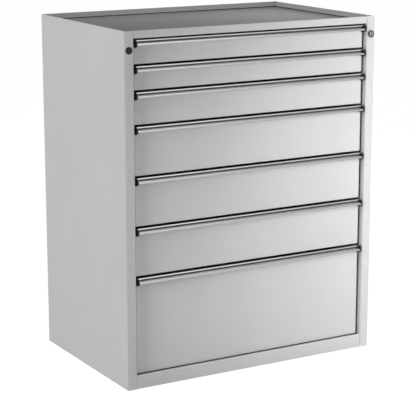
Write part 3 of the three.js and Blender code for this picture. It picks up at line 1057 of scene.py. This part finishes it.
def lock_cylinder():
    """Everything that turns with the key: the core, and the crank with its pin behind it. The
    core's centre and the lower half of its slot are painted dark, as painted shade of the keyway."""
    low, high = box_mm("lock_core")
    _, barrel_high = box_mm("lock_barrel")
    axis = axis_of("lock_barrel")
    core = lock_core_body(low.y, high.y)
    bmesh.ops.translate(core, vec=axis, verts=core.verts)
    # Painted shade: the core's centre and the lower half of the key slot get the dark finish
    for face in core.faces:
        across, up = off_axis(face, axis)
        in_slot = abs(across) < KEY_SLOT_HALF_WIDTH and up < 0
        if math.hypot(across, up) < CORE_CENTRE or in_slot:
            face.material_index = LOCK_DARK_AND_SHADE
    near = barrel_high.y + CLEARANCE
    far = near + CRANK_THICKNESS
    crank = turned([
        (0, near),
        (CRANK_RADIUS - CRANK_CHAMFER, near),
        (CRANK_RADIUS, near + CRANK_CHAMFER),
        (CRANK_RADIUS, far - CRANK_CHAMFER),
        (CRANK_RADIUS - CRANK_CHAMFER, far),
        (0, far),
    ], axis, CRANK_STEPS)
    shift = PIN_OFFSET * math.sqrt(0.5)
    pin = turned([
        (0, far - HAIR),
        (PIN_RADIUS, far - HAIR),
        (PIN_RADIUS, high.y - PIN_CHAMFER),
        (PIN_RADIUS - PIN_CHAMFER, high.y),
        (0, high.y),
    ], axis + Vector((-shift, 0, shift)), PIN_STEPS)
    whole = put_together(core, crank, pin)
    piece("lock_cylinder", whole, "lock_core", "lock_chrome", ["lock_core"],
          others=("lock_dark_and_shade",))


# The plug: two rings of its dome, each a share of its radius and a depth behind its face, its
# bore, and the depth of the bore's floor behind the post's face
DOME = ((0.55, 0.1), (0.85, 0.45))
PLUG_BORE = 8.4
PLUG_FLOOR = 1


def post_plug():
    """The blind plug: a low dome on a hollow neck."""
    low, high = box_mm("blind_plug")
    radius = (high.x - low.x) / 2
    plug = turned([
        (0, low.y),
        *((radius * share, low.y + depth) for share, depth in DOME),
        (radius, FRONT - HAIR),
        (radius, FRONT),
        (NECK_RADIUS, FRONT),
        (NECK_RADIUS, high.y),
        (PLUG_BORE, high.y),
        (PLUG_BORE, FRONT + PLUG_FLOOR),
        (0, FRONT + PLUG_FLOOR),
    ], axis_of("blind_plug"), LOCK_STEPS)
    piece("post_plug", plug, "root", "black_plastic", ["blind_plug"])


for name, side in SIDES.items():
    side_shell(name, side)
    side_foot(name, side)
    post_hem(name, side)
bottom_rail()
top_rail()
top_pan()
top_rear_rim()
mat_shade_edging()
mat_slab()
back_sheet()
floor_pan()
for name, side in SIDES.items():
    uprights(name, side)
    for drawer in DRAWERS:
        fixed_rail(drawer, name, side)
bar_guides()
lock_ring()
lock_cylinder()
post_plug()
for drawer in DRAWERS:
    drawer_box(drawer)
    for name, side in SIDES.items():
        moving_rail(drawer, name, side)
    lock_lug(drawer)
    drawer_front(drawer)
    handle_strip(drawer)
    for name, side in SIDES.items():
        end_plate(drawer, name)
        middle_rail(drawer, name, side)

# The locking bar is shown as its solid, which only gets a finish
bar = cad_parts["lock_bar"]
bar.data.materials.clear()
bar.data.materials.append(FINISHES["zinc_steel"])

# Studio: a white floor and surroundings, soft lamps and the camera of the photograph

# From here on, places and sizes are in metres
FLOOR_REACH = 60
FLOOR_DROP = 0.0005
FLOOR_GREY = 0.68
FLOOR_GLOW = 1.1
FLOOR_GLOW_SHARE = 0.9
WORLD_STRENGTH = 0.07


def seen_directly(nodes, links):
    """1 where the camera, a mirror or glass looks at a surface, and 0 for the light it gives."""
    path = nodes.new("ShaderNodeLightPath")
    total = path.outputs["Is Camera Ray"]
    for name in ("Is Glossy Ray", "Is Transmission Ray"):
        either = nodes.new("ShaderNodeMath")
        either.operation = "MAXIMUM"
        links.new(total, either.inputs[0])
        links.new(path.outputs[name], either.inputs[1])
        total = either.outputs["Value"]
    return total


def studio_floor():
    """A floor that takes the object's shadow and is nearly white to look at."""
    bm = bmesh.new()
    bmesh.ops.create_grid(bm, x_segments=1, y_segments=1, size=FLOOR_REACH)
    floor = made_object("floor", bm)
    floor.location.z = -FLOOR_DROP
    material = bpy.data.materials.new("floor_white")
    material.use_nodes = True
    nodes, links = material.node_tree.nodes, material.node_tree.links
    shade = nodes["Principled BSDF"]
    shade.inputs["Base Color"].default_value = (FLOOR_GREY, FLOOR_GREY, FLOOR_GREY, 1)
    shade.inputs["Roughness"].default_value = 1
    shade.inputs["Specular IOR Level"].default_value = 0
    glow = nodes.new("ShaderNodeEmission")
    glow.inputs["Strength"].default_value = FLOOR_GLOW
    weight = nodes.new("ShaderNodeMath")
    weight.operation = "MULTIPLY"
    weight.inputs[1].default_value = FLOOR_GLOW_SHARE
    links.new(seen_directly(nodes, links), weight.inputs[0])
    mix = nodes.new("ShaderNodeMixShader")
    links.new(weight.outputs["Value"], mix.inputs["Fac"])
    links.new(shade.outputs["BSDF"], mix.inputs[1])
    links.new(glow.outputs["Emission"], mix.inputs[2])
    links.new(mix.outputs["Shader"], nodes["Material Output"].inputs["Surface"])
    floor.data.materials.append(material)


def studio_world():
    """White to look at, and a weak white light on the object."""
    world = bpy.data.worlds.new("studio")
    bpy.context.scene.world = world
    world.use_nodes = True
    nodes, links = world.node_tree.nodes, world.node_tree.links
    soft = nodes["Background"]
    soft.inputs["Strength"].default_value = WORLD_STRENGTH
    soft.inputs["Color"].default_value = (1, 1, 1, 1)
    white = nodes.new("ShaderNodeBackground")
    white.inputs["Color"].default_value = (1, 1, 1, 1)
    mix = nodes.new("ShaderNodeMixShader")
    links.new(seen_directly(nodes, links), mix.inputs["Fac"])
    links.new(soft.outputs["Background"], mix.inputs[1])
    links.new(white.outputs["Background"], mix.inputs[2])
    links.new(mix.outputs["Shader"], nodes["World Output"].inputs["Surface"])


def soft_lamp(name, place, target, size, watts, in_reflections=True):
    """A rectangular lamp that shines from its place towards a target."""
    light = bpy.data.lights.new(name, "AREA")
    light.shape = "RECTANGLE"
    light.size, light.size_y = size
    light.energy = watts
    lamp = bpy.data.objects.new(name, light)
    lamp.location = place
    lamp.rotation_euler = (Vector(target) - Vector(place)).to_track_quat("-Z", "Y").to_euler()
    lamp.visible_glossy = in_reflections
    bpy.context.scene.collection.objects.link(lamp)


def grey_card(name, outline, height, grey):
    """A flat grey card that only reflections show. The metal strips look darker at their right
    ends for it."""
    bm = bmesh.new()
    bm.faces.new([bm.verts.new((x, y, height)) for x, y in outline])
    card = made_object(name, bm)
    card.visible_camera = False
    card.visible_diffuse = False
    card.visible_shadow = False
    card.visible_transmission = False
    material = bpy.data.materials.new(name)
    material.use_nodes = True
    nodes, links = material.node_tree.nodes, material.node_tree.links
    glow = nodes.new("ShaderNodeEmission")
    glow.inputs["Color"].default_value = (grey, grey, grey, 1)
    links.new(glow.outputs["Emission"], nodes["Material Output"].inputs["Surface"])
    card.data.materials.append(material)


# The camera, fitted to the edges of the cabinet in the photograph: its place, how far it
# looks down and to the right in degrees, and its lens and sensor in millimetres
CAMERA_PLACE = (-2.386, -4.104, 1.542)
CAMERA_TILT = 12.95
CAMERA_TURN = 30.2
CAMERA_LENS = 132.03
CAMERA_SENSOR = 36


def photo_camera():
    camera = bpy.data.objects.new("photo_camera", bpy.data.cameras.new("photo_camera"))
    camera.location = CAMERA_PLACE
    camera.rotation_euler = (math.radians(90 - CAMERA_TILT), 0, -math.radians(CAMERA_TURN))
    camera.data.sensor_width = CAMERA_SENSOR
    camera.data.lens = CAMERA_LENS
    bpy.context.scene.collection.objects.link(camera)
    bpy.context.scene.camera = camera


bpy.context.scene.view_settings.view_transform = "Standard"
studio_floor()
studio_world()
soft_lamp("left_softbox", place=(-4.2, -1.05, 1.05), target=(-0.4, -0.28, 0.58),
          size=(1, 2.8), watts=104, in_reflections=False)
soft_lamp("right_softbox", place=(0.85, -1.2, 0.66), target=(0.42, -0.28, 0.38),
          size=(0.7, 1.4), watts=15, in_reflections=False)
soft_lamp("top_softbox", place=(0, -0.1, 3.4), target=(0, 0, 1), size=(3, 3), watts=30)
soft_lamp("rear_softbox", place=(2.6, 2.4, 1.3), target=(0.3, 0.3, 0.5), size=(2, 2), watts=64)
grey_card("floor_card", [(0.35, -0.6), (3.3, -5.6), (7, -3.5), (2, -0.5)], height=0.001,
          grey=0.4)
grey_card("upper_card", [(0.9, -0.9), (2.6, -0.9), (2.6, 0.7), (0.9, 0.7)], height=2.2,
          grey=0.5)
photo_camera()
